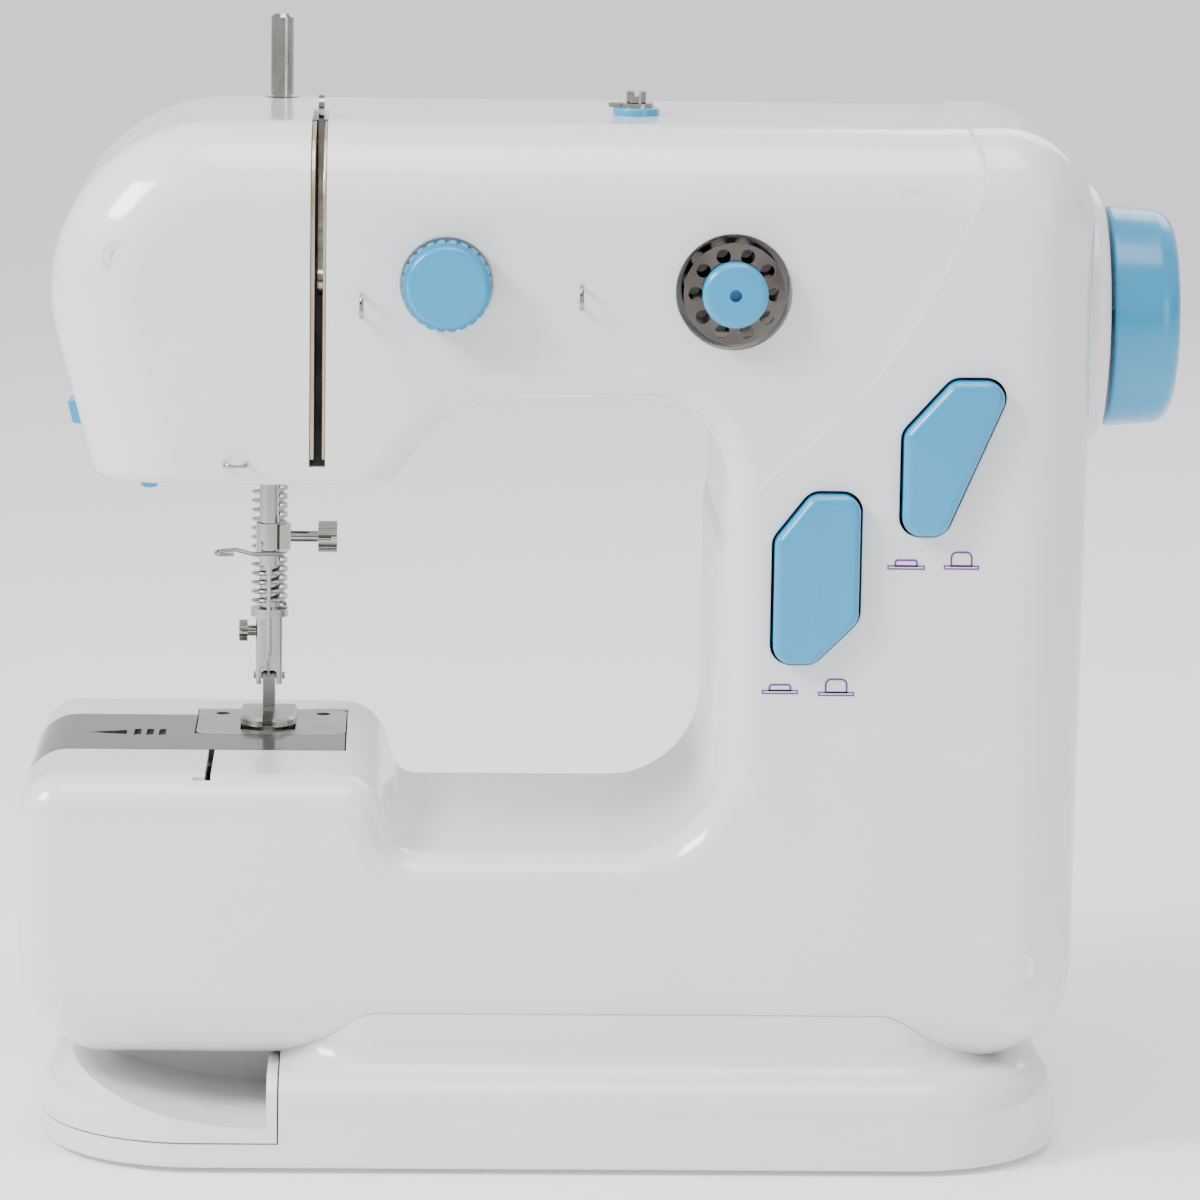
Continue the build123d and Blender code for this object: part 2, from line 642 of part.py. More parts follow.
LOW_BEARING_X = [-50.0, 28.0]
with BuildPart() as bed_frame:
    add(slab(-52, 34, 14, 17, 38, 59))
    for x in LOW_BEARING_X:
        add(slab(x, x + 4, LOWER_Y - 8, 17, 42, 58))
        add(rod(side(x - 1), BUSH_R, 6, [(LOWER_Y, LOWER_Z)]), mode=Mode.SUBTRACT)

with BuildPart() as shaft_bushes:
    for x in BEARING_X:
        add(rod(side(x - 0.8), BUSH_R, 5.6, [(0, SHAFT_Z)], bore=SHAFT_R + RUN))
    for x in LOW_BEARING_X:
        add(rod(side(x - 0.8), BUSH_R, 5.6, [(LOWER_Y, LOWER_Z)], bore=SHAFT_R + RUN))
save(shaft_bushes, "shaft_bushes")

# ---- head: needle and presser bars ----
FRAME_LEFT = -80.0
with BuildPart() as head_frame:
    add(slab(FRAME_LEFT, FRAME_LEFT + 2.5, -21, 33, 144, 204))
    for z0, z1 in ((146.0, 151.0), (186.5, 189.5)):
        add(slab(FRAME_LEFT, NEEDLE_X + 4.5, 6.5, 22.6, z0, z1))
    add(rod(side(FRAME_LEFT), 1.5, LEVER_X + 2.0 - FRAME_LEFT, [(LEVER_Y, LEVER_Z)]))
    add(rod(level(130), NEEDLE_BAR_R + RUN, 80, [(NEEDLE_X, NEEDLE_Y)]), mode=Mode.SUBTRACT)
    add(rod(level(130), PRESSER_R + RUN, 80, [(NEEDLE_X, PRESSER_Y)]), mode=Mode.SUBTRACT)

with BuildPart() as inner_frame:
    add(arm_frame.part)
    add(bed_frame.part)
    add(head_frame.part)
save(inner_frame, "inner_frame")

NEEDLE_BAR_LOW = 114.5
with BuildPart() as needle_bar:
    add(rod(level(NEEDLE_BAR_LOW), NEEDLE_BAR_R, 93.5, [(NEEDLE_X, NEEDLE_Y)]))
    add(rod(level(NEEDLE_BAR_LOW), 1.0, 12.0, [(NEEDLE_X, NEEDLE_Y)]), mode=Mode.SUBTRACT)
    chamfer(needle_bar.edges().group_by(Axis.Z)[-1], 0.4)
save(needle_bar, "needle_bar")

YOKE_Z = SHAFT_Z + CRANK_R
with BuildPart() as needle_yoke:
    add(slab(-61.4, -59.4, -14, 16, YOKE_Z - 4.2, YOKE_Z + 4.2))
    with BuildSketch(side(-62)):
        with Locations((0, YOKE_Z)):
            SlotOverall(26, 5.2)
    extrude(amount=4, mode=Mode.SUBTRACT)
    add(slab(NEEDLE_X - 3.4, -59.4, 8.9, 15.2, YOKE_Z - 4.2, YOKE_Z + 4.2))
    with BuildSketch(side(-62)):
        with Locations((0, YOKE_Z)):
            SlotOverall(26, 5.2)
    extrude(amount=4, mode=Mode.SUBTRACT)
    add(rod(level(150), NEEDLE_BAR_R, 50, [(NEEDLE_X, NEEDLE_Y)]), mode=Mode.SUBTRACT)
save(needle_yoke, "needle_yoke")

with BuildPart() as take_up_lever:
    with BuildSketch(side(LEVER_X - 0.6)):
        with Locations((LEVER_Y, LEVER_Z)):
            Circle(3.2)
        with BuildLine():
            Polyline(
                (LEVER_Y - 2.2, LEVER_Z),
                (LEVER_Y - 1.4, LEVER_Z + LEVER_REACH - 4),
                (LEVER_Y + 1.8, LEVER_Z + LEVER_REACH - 4),
                (LEVER_Y + 2.6, LEVER_Z),
                close=True,
            )
        make_face()
        with Locations((LEVER_Y + 0.2, LEVER_Z + LEVER_REACH - 2.6)):
            Circle(2.6)
            Circle(1.1, mode=Mode.SUBTRACT)
        with Locations((LEVER_Y, LEVER_Z)):
            Circle(1.5 + RUN, mode=Mode.SUBTRACT)
    extrude(amount=1.2)
save(take_up_lever, "take_up_lever")

CLAMP_Z = 120.6
with BuildPart() as needle_clamp:
    add(rod(level(116.5), 2.7, 7.0, [(NEEDLE_X, NEEDLE_Y)], bore=NEEDLE_BAR_R))
    add(slab(NEEDLE_X + 2.3, NEEDLE_X + 4.6, NEEDLE_Y - 2.2, NEEDLE_Y + 2.2, 118.0, 123.2))
    add(rod(side(NEEDLE_X), 1.25, 8.0, [(NEEDLE_Y, CLAMP_Z)]), mode=Mode.SUBTRACT)
save(needle_clamp, "needle_clamp")

with BuildPart() as clamp_screw:
    add(rod(side(NEEDLE_X + 2.1), 1.2, 9.0, [(NEEDLE_Y, CLAMP_Z)]))
    with BuildSketch(side(NEEDLE_X + 10.4)):
        with Locations((NEEDLE_Y, CLAMP_Z)):
            Circle(3.3)
            with PolarLocations(3.3, 20):
                Circle(0.28, mode=Mode.SUBTRACT)
    extrude(amount=4.0)
    add(slab(NEEDLE_X + 13.2, NEEDLE_X + 15, NEEDLE_Y - 4, NEEDLE_Y + 4, CLAMP_Z - 0.5, CLAMP_Z + 0.5), mode=Mode.SUBTRACT)
save(clamp_screw, "clamp_screw")

NEEDLE_TIP = 90.0
with BuildPart() as needle:
    with BuildSketch(Plane.XZ):
        with BuildLine():
            Polyline(
                (0, NEEDLE_TIP),
                (0.12, NEEDLE_TIP + 0.6),
                (0.42, NEEDLE_TIP + 4.0),
                (0.42, NEEDLE_TIP + 22.0),
                (0.95, NEEDLE_TIP + 25.0),
                (0.95, NEEDLE_TIP + 34.0),
                (0, NEEDLE_TIP + 34.0),
                close=True,
            )
        make_face()
    revolve(axis=Axis.Z)
    add(slab(-0.11, 0.11, -1, 1, NEEDLE_TIP + 4.2, NEEDLE_TIP + 6.0), mode=Mode.SUBTRACT)
needle.part = needle.part.moved(Location((NEEDLE_X, NEEDLE_Y, 0)))
save(needle, "needle")

with BuildPart() as needle_thread_guide:
    with BuildLine():
        wire_path = FilletPolyline(
            (NEEDLE_X + 3.0, NEEDLE_Y - 3.3, 117.3),
            (NEEDLE_X - 3.6, NEEDLE_Y - 3.3, 117.3),
            (NEEDLE_X - 7.0, NEEDLE_Y - 4.6, 118.4),
            (NEEDLE_X - 11.0, NEEDLE_Y - 4.6, 118.0),
            (NEEDLE_X - 11.0, NEEDLE_Y - 7.4, 117.8),
            (NEEDLE_X - 7.2, NEEDLE_Y - 7.4, 117.8),
            radius=[1.5, 1.5, 1.2, 1.2],
        )
    with BuildSketch(Plane(wire_path @ 0, z_dir=wire_path % 0)):
        Circle(0.42)
    sweep(path=wire_path)
save(needle_thread_guide, "needle_thread_guide")

PRESSER_LOW = 92.5
with BuildPart() as presser_bar:
    add(rod(level(PRESSER_LOW), PRESSER_R, 110.0, [(NEEDLE_X, PRESSER_Y)]))
    chamfer(presser_bar.edges().group_by(Axis.Z)[-1], 0.5)
save(presser_bar, "presser_bar")

SPRING_LOW = 104.2
SPRING_HIGH = 145.8
SPRING_WIRE = 0.42
SPRING_PITCH = 1.95
with BuildPart() as presser_spring:
    with BuildLine():
        turns = Helix(SPRING_PITCH, SPRING_HIGH - SPRING_LOW - 2 * SPRING_WIRE, 3.5, center=(0, 0, SPRING_LOW + SPRING_WIRE))
    with BuildSketch(Plane(turns @ 0, z_dir=turns % 0)):
        Circle(SPRING_WIRE)
    sweep(path=turns, is_frenet=True)
presser_spring.part = presser_spring.part.moved(Location((NEEDLE_X, PRESSER_Y, 0)))
save(presser_spring, "presser_spring")

with BuildPart() as presser_bracket:
    add(slab(NEEDLE_X - 3.5, NEEDLE_X + 3.5, 16.0, 34.0, 154.6, 160.0))
    fillet(presser_bracket.edges().filter_by(Axis.Z).group_by(Axis.Y)[0], 2.0)
    add(rod(level(150), PRESSER_R, 20, [(NEEDLE_X, PRESSER_Y)]), mode=Mode.SUBTRACT)
save(presser_bracket, "presser_bracket")

with BuildPart() as presser_lifter:
    add(rod(front(48.8), 2.7, 24.0, [(NEEDLE_X, LIFTER_Z)]))
    with BuildSketch(front(34.0)):
        with Locations((NEEDLE_X, LIFTER_Z)):
            Circle(4.0)
        with BuildLine():
            Polyline(
                (NEEDLE_X, LIFTER_Z + 4.0),
                (NEEDLE_X + 8.0, LIFTER_Z + 1.5),
                (NEEDLE_X + 8.0, LIFTER_Z - 1.5),
                (NEEDLE_X, LIFTER_Z - 4.0),
                close=True,
            )
        make_face()
        with Locations((NEEDLE_X + 7.75, LIFTER_Z)):
            Circle(1.6)
    extrude(amount=5.0)
    with BuildSketch(front(48.8)):
        with Locations((NEEDLE_X, LIFTER_Z - 8)):
            SlotOverall(26, 8, rotation=90)
    extrude(amount=3.4)
    fillet(presser_lifter.faces().sort_by(Axis.Y)[-1].edges(), 0.8)
save(presser_lifter, "presser_lifter")

with BuildPart() as foot_holder:
    add(slab(NEEDLE_X - 2.8, NEEDLE_X + 2.8, 15.6, 22.4, 88.0, SPRING_LOW - 1.8))
    fillet(foot_holder.edges().filter_by(Axis.Z), 1.2)
    add(rod(level(SPRING_LOW - 1.8), 4.0, 1.7, [(NEEDLE_X, PRESSER_Y)]))
    add(rod(level(PRESSER_LOW), PRESSER_R, 30, [(NEEDLE_X, PRESSER_Y)]), mode=Mode.SUBTRACT)
    add(slab(NEEDLE_X - 1.6, NEEDLE_X + 1.6, 10, 30, 80, 91.0), mode=Mode.SUBTRACT)
    add(rod(side(NEEDLE_X - 5), 0.8, 10, [(PRESSER_Y, 89.4)]), mode=Mode.SUBTRACT)
    add(rod(side(NEEDLE_X - 5), 1.2, 3.2, [(PRESSER_Y, 99.0)]), mode=Mode.SUBTRACT)
save(foot_holder, "foot_holder")

with BuildPart() as foot_screw:
    add(rod(side(NEEDLE_X - 4.8), 1.15, 2.5, [(PRESSER_Y, 99.0)]))
    add(rod(side(NEEDLE_X - 6.4), 2.3, 1.8, [(PRESSER_Y, 99.0)]))
    add(slab(NEEDLE_X - 7, NEEDLE_X - 5.8, 10, 30, 98.7, 99.3), mode=Mode.SUBTRACT)
save(foot_screw, "foot_screw")

with BuildPart() as presser_foot:
    with BuildSketch(level(BED_TOP + 0.5)):
        with Locations((NEEDLE_X, NEEDLE_Y)):
            Circle(5.9)
        with Locations((NEEDLE_X, NEEDLE_Y + 6)):
            Rectangle(11.8, 12.0)
    extrude(amount=1.8)
    chamfer(presser_foot.faces().sort_by(Axis.Z)[-1].edges(), 0.6)
    add(slab(NEEDLE_X - 1.1, NEEDLE_X + 1.1, NEEDLE_Y - 8, NEEDLE_Y + 3, 80, 83), mode=Mode.SUBTRACT)
    add(slab(NEEDLE_X - 1.3, NEEDLE_X + 1.3, 16.6, 21.4, BED_TOP + 1.8, 90.6))
    fillet(presser_foot.edges().filter_by(Axis.X).group_by(Axis.Z)[-1], 1.1)
    add(rod(side(NEEDLE_X - 3.3), 0.75, 6.6, [(PRESSER_Y, 89.4)]))
save(presser_foot, "presser_foot")

# ---- thread path ----
with BuildPart() as tension_knob:
    with BuildSketch(front(-46.2)):
        with Locations((TENSION_X, TENSION_Z)):
            Circle(9.0)
            with PolarLocations(9.15, 24):
                Circle(0.55, mode=Mode.SUBTRACT)
    extrude(amount=5.4)
    with BuildSketch(front(-51.0)):
        with Locations((TENSION_X, TENSION_Z)):
            Circle(8.2)
    extrude(amount=1.6)
    fillet(tension_knob.faces().sort_by(Axis.Y)[0].edges(), 0.9)
    add(rod(front(-46.0), 5.2, 4.2, [(TENSION_X, TENSION_Z)]), mode=Mode.SUBTRACT)
    add(rod(front(-40.0), 2.0 + RUN, 11.0, [(TENSION_X, TENSION_Z)]), mode=Mode.SUBTRACT)
save(tension_knob, "tension_knob")

with BuildPart() as tension_discs:
    for y in (-44.7, -45.4):
        add(rod(front(y), 9.4, 0.5, [(TENSION_X, TENSION_Z)], bore=2.0))
save(tension_discs, "tension_discs")

with BuildPart() as tension_stud:
    add(rod(front(-36.0), 2.0, 14.8, [(TENSION_X, TENSION_Z)]))
    add(rod(front(-38.0), 4.5, 3.0, [(TENSION_X, TENSION_Z)]))

with BuildPart() as tension_spring:
    with BuildLine():
        coil = Helix(1.1, 3.2, 3.6)
    with BuildSketch(Plane(coil @ 0, z_dir=coil % 0)):
        Circle(0.3)
    sweep(path=coil, is_frenet=True)
tension_spring.part = tension_spring.part.moved(
    Location(Plane((TENSION_X, -46.4, TENSION_Z), x_dir=(1, 0, 0), z_dir=(0, -1, 0)))
)

with BuildPart() as sprung_stud:
    add(tension_stud.part)
    add(tension_spring.part)
save(sprung_stud, "tension_stud")


def wire_loop(x0, z0, x1, z1, reach):
    """A thread guide of bent wire: two legs out of the front face, joined by a rounded end."""
    with BuildPart() as wire:
        with BuildLine():
            path = FilletPolyline(
                (x0, -ARM_HALF, z0),
                (x0, -ARM_HALF - reach, z0),
                (x1, -ARM_HALF - reach, z1),
                (x1, -ARM_HALF, z1),
                radius=1.4,
            )
        with BuildSketch(Plane(path @ 0, z_dir=path % 0)):
            Circle(0.45)
        sweep(path=path)
    return wire.part


with BuildPart() as thread_guides:
    add(wire_loop(-49.4, 174.8, -49.4, 179.0, 3.6))
    add(wire_loop(-5.4, 176.9, -5.4, 181.1, 3.6))
    add(wire_loop(-76.6, 144.6, -72.2, 144.6, 3.2))
save(thread_guides, "thread_guides")

with BuildPart() as winder_cup:
    add(rod(front(-33.0), 13.2, 9.0, [(WINDER_X, WINDER_Z)]))
    add(rod(front(-34.2), 11.6, 12.0, [(WINDER_X, WINDER_Z)]), mode=Mode.SUBTRACT)
    add(rod(front(-30.0), 2.6, 12.0, [(WINDER_X, WINDER_Z)]), mode=Mode.SUBTRACT)
save(winder_cup, "winder_cup")

WINDER_BACK = -36.3
with BuildPart() as upper_bobbin:
    add(bobbin(front(WINDER_BACK), (WINDER_X, WINDER_Z)))
save(upper_bobbin, "upper_bobbin")

CAP_START = WINDER_BACK - BOBBIN_H
with BuildPart() as bobbin_cap:
    with BuildSketch(front(CAP_START)):
        with Locations((WINDER_X, WINDER_Z)):
            Circle(6.6)
    extrude(amount=3.6)
    fillet(bobbin_cap.faces().sort_by(Axis.Y)[0].edges(), 1.4)
    add(rod(front(CAP_START - 1.4), 1.2, 4.0, [(WINDER_X, WINDER_Z)]), mode=Mode.SUBTRACT)
save(bobbin_cap, "bobbin_cap")

with BuildPart() as winder_spindle:
    add(rod(front(-26.0), 2.5, 21.4, [(WINDER_X, WINDER_Z)]))
    add(rod(front(-29.0), 9.0, 3.0, [(WINDER_X, WINDER_Z)]))
save(winder_spindle, "winder_spindle")

with BuildPart() as spool_pin:
    add(rod(level(203.0), SPOOL_R - 0.4, 12.0, [(SPOOL_X, SPOOL_Y)]))
    add(rod(level(ARM_TOP + 0.5), SPOOL_R, SPOOL_TOP - ARM_TOP - 0.5, [(SPOOL_X, SPOOL_Y)]))
    chamfer(spool_pin.edges().group_by(Axis.Z)[-1], 0.7)
save(spool_pin, "spool_pin")

with BuildPart() as guide_washer:
    add(rod(level(ARM_TOP), 4.8, 1.6, [(GUIDE_X, GUIDE_Y)], bore=1.6))
    fillet(guide_washer.edges().group_by(Axis.Z)[-1].sort_by(SortBy.LENGTH)[-1], 0.6)
save(guide_washer, "guide_washer")

with BuildPart() as guide_disc:
    with BuildSketch(level(ARM_TOP + 1.6)):
        with Locations((GUIDE_X, GUIDE_Y)):
            Circle(3.6)
        with Locations((GUIDE_X - 3.4, GUIDE_Y)):
            RectangleRounded(4.6, 2.4, 1.0)
        with Locations((GUIDE_X, GUIDE_Y)):
            Circle(1.6, mode=Mode.SUBTRACT)
    extrude(amount=0.9)

with BuildPart() as guide_post:
    add(rod(level(208.0), 1.6, 8.2, [(GUIDE_X, GUIDE_Y)]))
    add(rod(level(ARM_TOP + 2.5), 2.1, 2.4, [(GUIDE_X, GUIDE_Y)]))
    add(slab(GUIDE_X - 0.4, GUIDE_X + 0.4, -20, 10, ARM_TOP + 3.9, ARM_TOP + 8), mode=Mode.SUBTRACT)

with BuildPart() as disc_and_post:
    add(guide_disc.part)
    add(guide_post.part)
save(disc_and_post, "guide_post")

# ---- controls, electrics and small parts ----
BOARD_Y = -22.0
for name, corners, stem_x, stem_z in (
    ("power_button", POWER_CORNERS, 69.0, 148.0),
    ("speed_button", SPEED_CORNERS, 43.0, 123.0),
):
    with BuildPart() as button:
        add(button_block(corners, BUTTON_ROUND, 0, BUTTON_FACE, 9.0))
        fillet(button.faces().sort_by(Axis.Y)[0].edges(), 1.6)
        add(rod(front(-36.4), 3.0, 5.0, [(stem_x, stem_z)]))
    save(button, name)

with BuildPart() as switches:
    for x, z in ((69.0, 148.0), (43.0, 123.0)):
        add(slab(x - 4, x + 4, -33.0, BOARD_Y - 1.6, z - 4, z + 4))

with BuildPart() as circuit_board:
    add(slab(30.0, 80.0, BOARD_Y - 1.6, BOARD_Y, 104.0, 156.0))
    add(rod(front(BOARD_Y + 6.0), 3.0, 6.0, [(36.0, 112.0), (36.0, 150.0)]))

with BuildPart() as filled_board:
    add(circuit_board.part)
    add(switches.part)
save(filled_board, "circuit_board")

JACK_X = COLUMN_RIGHT - 13.4
with BuildPart() as foot_jack:
    add(rod(side(JACK_X), 2.8, 14.6, [(0, JACK_Z)]))
    add(slab(JACK_X - 2, JACK_X + 10, -4.0, 4.0, JACK_Z - 4, JACK_Z + 4))
    add(rod(side(JACK_X + 1), 1.75, 20.0, [(0, JACK_Z)]), mode=Mode.SUBTRACT)
    chamfer(foot_jack.edges().group_by(Axis.X)[-1].sort_by(SortBy.LENGTH)[-1], 0.4)
save(foot_jack, "foot_jack")

with BuildPart() as power_inlet:
    add(rod(side(JACK_X), 4.1, 14.2, [(POWER_JACK_Y, JACK_Z)]))
    add(rod(side(JACK_X + 4), 2.9, 20.0, [(POWER_JACK_Y, JACK_Z)]), mode=Mode.SUBTRACT)
    add(rod(side(JACK_X + 3), 0.9, 10.0, [(POWER_JACK_Y, JACK_Z)]))
save(power_inlet, "power_inlet")

with BuildPart() as lamp:
    add(rod(level(138.6), 3.0, 7.0, [(LAMP_X, 12.0)]))
    fillet(lamp.edges().group_by(Axis.Z)[0], 1.6)
save(lamp, "lamp")

with BuildPart() as lamp_button:
    add(rod(level(137.2), 1.75, 8.0, [(LAMP_BUTTON_X, LAMP_BUTTON_Y)]))
    add(rod(level(143.6), 2.8, 1.6, [(LAMP_BUTTON_X, LAMP_BUTTON_Y)]))
    fillet(lamp_button.edges().group_by(Axis.Z)[0], 0.5)
save(lamp_button, "lamp_button")

CUTTER_Z = 149.5
with BuildPart() as thread_cutter:
    with BuildSketch(front(5.0)):
        with BuildLine():
            Polyline((-104.0, CUTTER_Z - 3.4), (-109.4, CUTTER_Z - 2.6), (-110.4, CUTTER_Z + 1.6), (-104.0, CUTTER_Z + 3.0))
            Line((-104.0, CUTTER_Z + 3.0), (-104.0, CUTTER_Z - 3.4))
        make_face()
    extrude(amount=10.0)
    add(slab(-112, -106.8, -0.9, 0.9, 140, CUTTER_Z + 0.8), mode=Mode.SUBTRACT)
    add(outer, mode=Mode.SUBTRACT)
save(thread_cutter, "thread_cutter")

with BuildPart() as cutter_blade:
    add(slab(-109.6, -106.8, -0.35, 0.35, CUTTER_Z - 1.6, CUTTER_Z + 0.8))
save(cutter_blade, "cutter_blade")
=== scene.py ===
# %% [markdown]
# A portable sewing machine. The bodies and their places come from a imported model, the frame,
# and this lesson dresses them: glossy white shells, sky-blue knobs and keys, and bright plated
# metal round the needle. The model is in metres. The machine's own measures are written in
# millimetres and multiplied by MM, and every CAD piece stays where the frame puts it.

# %% Load the frame
import json
import math

import bmesh
import bpy
import numpy as np
from mathutils import Matrix, Vector


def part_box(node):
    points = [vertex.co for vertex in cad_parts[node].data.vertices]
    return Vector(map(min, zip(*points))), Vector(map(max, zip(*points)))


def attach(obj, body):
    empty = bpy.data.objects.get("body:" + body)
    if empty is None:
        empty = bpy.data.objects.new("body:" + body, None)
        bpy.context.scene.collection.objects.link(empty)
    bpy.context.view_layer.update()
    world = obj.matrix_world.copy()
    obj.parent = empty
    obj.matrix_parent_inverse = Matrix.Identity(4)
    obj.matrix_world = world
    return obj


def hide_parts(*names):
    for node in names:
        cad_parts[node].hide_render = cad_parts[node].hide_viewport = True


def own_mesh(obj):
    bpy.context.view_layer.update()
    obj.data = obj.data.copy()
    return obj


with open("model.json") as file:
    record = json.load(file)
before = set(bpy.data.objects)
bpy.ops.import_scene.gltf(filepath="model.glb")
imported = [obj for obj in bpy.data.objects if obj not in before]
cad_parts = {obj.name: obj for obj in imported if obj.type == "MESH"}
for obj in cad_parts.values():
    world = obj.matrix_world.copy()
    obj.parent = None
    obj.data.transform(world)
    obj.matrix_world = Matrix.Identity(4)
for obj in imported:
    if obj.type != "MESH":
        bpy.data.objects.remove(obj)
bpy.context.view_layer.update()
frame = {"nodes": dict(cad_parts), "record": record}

MM = 0.001

# %% [markdown]
# The camera stands a little above the bed and a touch to the left, far away with a long lens,
# so upright edges stay nearly parallel. It could be aimed with a constraint; a direction turned
# into a rotation is used because it stays a plain, fixed number.

# %% Camera
AIM = Vector((0.75, 0.0, 109.6)) * MM
DISTANCE = 1.2
ELEVATION = math.radians(10.0)
AZIMUTH = math.radians(-2.0)
ROLL = math.radians(0.85)
LENS = 171.4
SENSOR = 36.0


def towards(azimuth, elevation):
    """Unit vector from the aim to a viewer: azimuth turns about Z, elevation lifts it."""
    flat = math.cos(elevation)
    return Vector((math.sin(azimuth) * flat, -math.cos(azimuth) * flat, math.sin(elevation)))


camera_data = bpy.data.cameras.new("camera")
camera_data.lens = LENS
camera_data.sensor_width = SENSOR
camera = bpy.data.objects.new("camera", camera_data)
bpy.context.scene.collection.objects.link(camera)
camera.location = AIM + DISTANCE * towards(AZIMUTH, ELEVATION)
facing = (AIM - camera.location).to_track_quat("-Z", "Y").to_matrix().to_4x4()
camera.rotation_euler = (facing @ Matrix.Rotation(ROLL, 4, "Z")).to_euler()
bpy.context.scene.camera = camera
print("camera at", [round(v, 4) for v in camera.location])

# %% [markdown]
# A white object on white needs broad, soft lights that leave slow gradients on its curves, and
# one darker side so that edges still read. The sky fills the shadows, and its bands from pale to
# dark give gloss and metal something to mirror.

# %% Sky
SKY_STRENGTH = 0.72
BANDS = [(0.0, 0.95), (0.46, 0.9), (0.5, 0.12), (0.57, 0.2), (0.64, 1.0), (1.0, 1.1)]
world = bpy.data.worlds.new("studio")
world.use_nodes = True
world_tree = world.node_tree
sky = world_tree.nodes["Background"]
sky.inputs["Strength"].default_value = SKY_STRENGTH
sky_way = world_tree.nodes.new("ShaderNodeTexCoord")
sky_split = world_tree.nodes.new("ShaderNodeSeparateXYZ")
sky_ramp = world_tree.nodes.new("ShaderNodeValToRGB")
lift = world_tree.nodes.new("ShaderNodeMapRange")
lift.inputs["From Min"].default_value = -1.0
world_tree.links.new(sky_way.outputs["Generated"], sky_split.inputs[0])
world_tree.links.new(sky_split.outputs["Z"], lift.inputs["Value"])
world_tree.links.new(lift.outputs["Result"], sky_ramp.inputs["Fac"])
world_tree.links.new(sky_ramp.outputs["Color"], sky.inputs["Color"])
ramp = sky_ramp.color_ramp
while len(ramp.elements) < len(BANDS):
    ramp.elements.new(0.5)
for element, (height, _) in zip(ramp.elements, BANDS):
    element.position = height
for element, (_, grey) in zip(ramp.elements, BANDS):
    element.color = (grey, grey, grey * 1.01, 1.0)
bpy.context.scene.world = world
print("sky bands:", len(BANDS))

# %% [markdown]
# The bands are only there to be mirrored and to light. Where the camera looks at the sky itself,
# past the floor's edge, it is plain and pale, so no dark band stands behind the machine.

# %% Plain sky for the camera
PLAIN_SKY = (0.62, 0.62, 0.625, 1.0)
plain_sky = world_tree.nodes.new("ShaderNodeBackground")
plain_sky.inputs["Color"].default_value = PLAIN_SKY
ray = world_tree.nodes.new("ShaderNodeLightPath")
choose = world_tree.nodes.new("ShaderNodeMixShader")
world_tree.links.new(ray.outputs["Is Camera Ray"], choose.inputs[0])
world_tree.links.new(sky.outputs[0], choose.inputs[1])
world_tree.links.new(plain_sky.outputs[0], choose.inputs[2])
world_tree.links.new(choose.outputs[0], world_tree.nodes["World Output"].inputs["Surface"])
print("plain sky:", PLAIN_SKY[:3])

# %% [markdown]
# Four large area lamps stand for a studio's soft boxes. Each is given by its azimuth and elevation
# in degrees, its distance and size in metres, and its power in watts.

# %% Lamps


def soft_box(name, azimuth, elevation, distance, size, power):
    """A square area lamp, placed on a sphere round the aim and turned to face it."""
    data = bpy.data.lights.new(name, "AREA")
    data.size = size
    data.energy = power
    lamp = bpy.data.objects.new(name, data)
    bpy.context.scene.collection.objects.link(lamp)
    lamp.location = AIM + distance * towards(math.radians(azimuth), math.radians(elevation))
    lamp.rotation_euler = (AIM - lamp.location).to_track_quat("-Z", "Y").to_euler()


LAMPS = {
    "key": (-62, 38, 1.1, 0.36, 15.0),
    "fill": (40, 12, 1.4, 0.6, 3.0),
    "top": (20, 78, 1.0, 0.6, 6.5),
    "rim": (155, 35, 1.2, 0.6, 3.5),
}
for name, values in LAMPS.items():
    soft_box(name, *values)
print("lamps:", sorted(LAMPS))

# %% [markdown]
# Most surfaces made here are a grid of points with a face between each four neighbours. A second
# helper merges the points that meet at a pole and turns every face outwards.

# %% Grid helper


def grid_mesh(name, points, close_u=False, close_v=False):
    """A surface from an (n, m, 3) array of points: neighbours in both directions share a face."""
    n, m = points.shape[:2]
    index = np.arange(n * m).reshape(n, m)
    if close_u:
        index = np.vstack([index, index[:1]])
    if close_v:
        index = np.hstack([index, index[:, :1]])
    a, b = index[:-1, :-1], index[1:, :-1]
    c, d = index[1:, 1:], index[:-1, 1:]
    faces = np.stack([a, b, c, d], -1).reshape(-1, 4)
    mesh = bpy.data.meshes.new(name)
    mesh.from_pydata(points.reshape(-1, 3), [], faces.tolist())
    mesh.shade_smooth()
    piece = bpy.data.objects.new(name, mesh)
    bpy.context.scene.collection.objects.link(piece)
    return piece


def close_up(mesh):
    """Merges points that lie on each other, such as at poles, and turns every face outwards."""
    shape = bmesh.new()
    shape.from_mesh(mesh)
    bmesh.ops.remove_doubles(shape, verts=shape.verts, dist=1e-7)
    bmesh.ops.recalc_face_normals(shape, faces=shape.faces)
    shape.to_mesh(mesh)
    shape.free()


print("mesh helpers:", grid_mesh.__name__, close_up.__name__)

# %% [markdown]
# The floor is one pale sheet that turns up into a wall far behind, so no horizon line shows. A
# profile (flat, quarter turn, upright) is swept along X as a grid of points.

# %% Floor
FRONT = -4.0
BACK = 1.4
BEND = 0.6
WALL_TOP = 3.0
HALF_WIDTH = 4.0
turn = np.linspace(0, math.pi / 2, 24)
profile = np.vstack([
    [[FRONT, 0.0]],
    np.column_stack([BACK + BEND * np.sin(turn), BEND * (1 - np.cos(turn))]),
    [[BACK + BEND, WALL_TOP]],
])
across = np.array([HALF_WIDTH, -HALF_WIDTH])
floor_points = np.zeros((len(across), len(profile), 3))
floor_points[..., 0] = across[:, None]
floor_points[..., 1:] = profile[None, :, :]
floor = grid_mesh("floor", floor_points)
print("floor faces:", len(floor.data.polygons))

